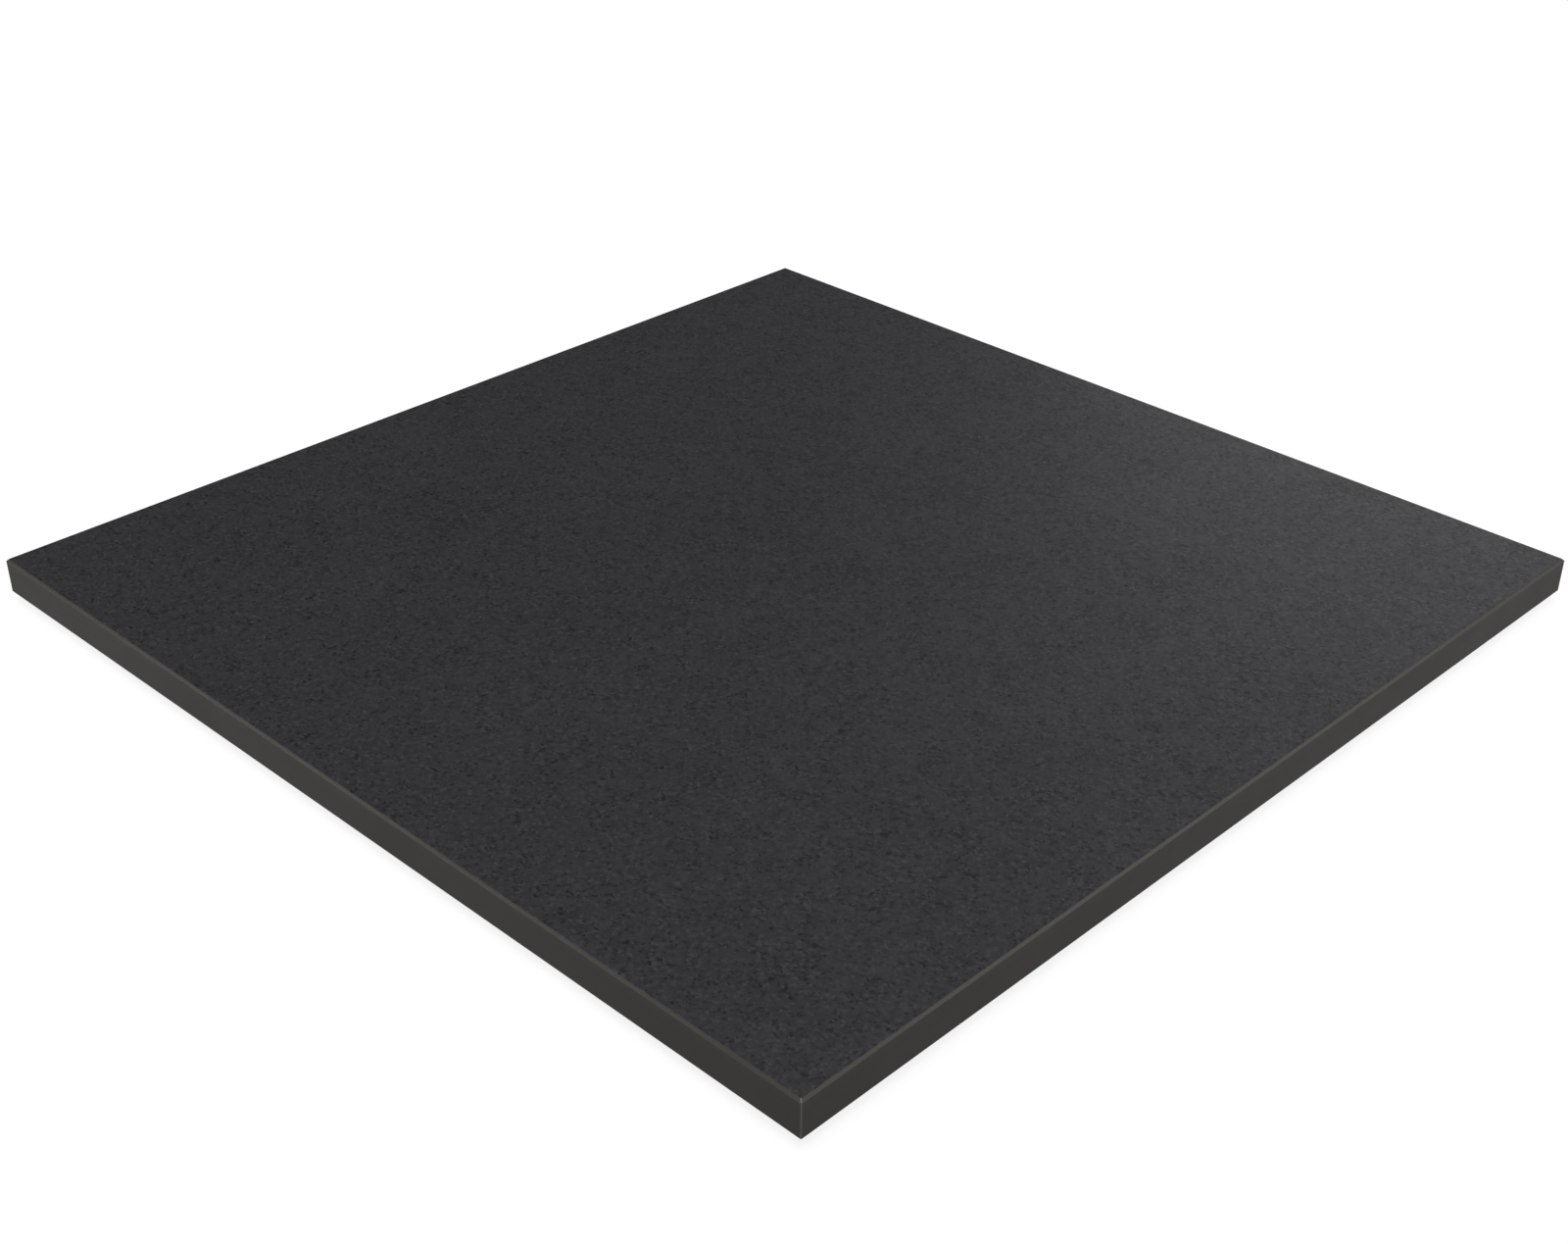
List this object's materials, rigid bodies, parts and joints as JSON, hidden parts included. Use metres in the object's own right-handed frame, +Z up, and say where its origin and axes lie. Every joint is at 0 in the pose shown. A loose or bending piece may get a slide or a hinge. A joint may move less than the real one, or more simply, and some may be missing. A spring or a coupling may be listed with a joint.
{
  "type": "granite slab",
  "caption": "Square charcoal granite slab with a honed work face, ground sides and a narrow bevelled top edge, on low rubber feet: a hard base for stamping, punching and skiving leather.",
  "frame": {"origin": "on the bench, under the middle of the slab: the bottom centre of the whole part's box", "axes": "+Z up, out of the work face; +X and +Y along the slab's two equal sides"},
  "size_m": [0.6, 0.6, 0.0264],
  "materials": {
    "honed_granite": "satin",
    "foot_rubber": "matte",
    "adhesive_foam": "matte"
  },
  "bodies": {
    "root": {"granite_slab": "honed_granite", "foot_front_left": "foot_rubber", "foot_front_right": "foot_rubber", "foot_back_left": "foot_rubber", "foot_back_right": "foot_rubber", "foot_centre": "foot_rubber", "foot_adhesive_front_left": "adhesive_foam", "foot_adhesive_front_right": "adhesive_foam", "foot_adhesive_back_left": "adhesive_foam", "foot_adhesive_back_right": "adhesive_foam", "foot_adhesive_centre": "adhesive_foam"}
  },
  "joints": []
}
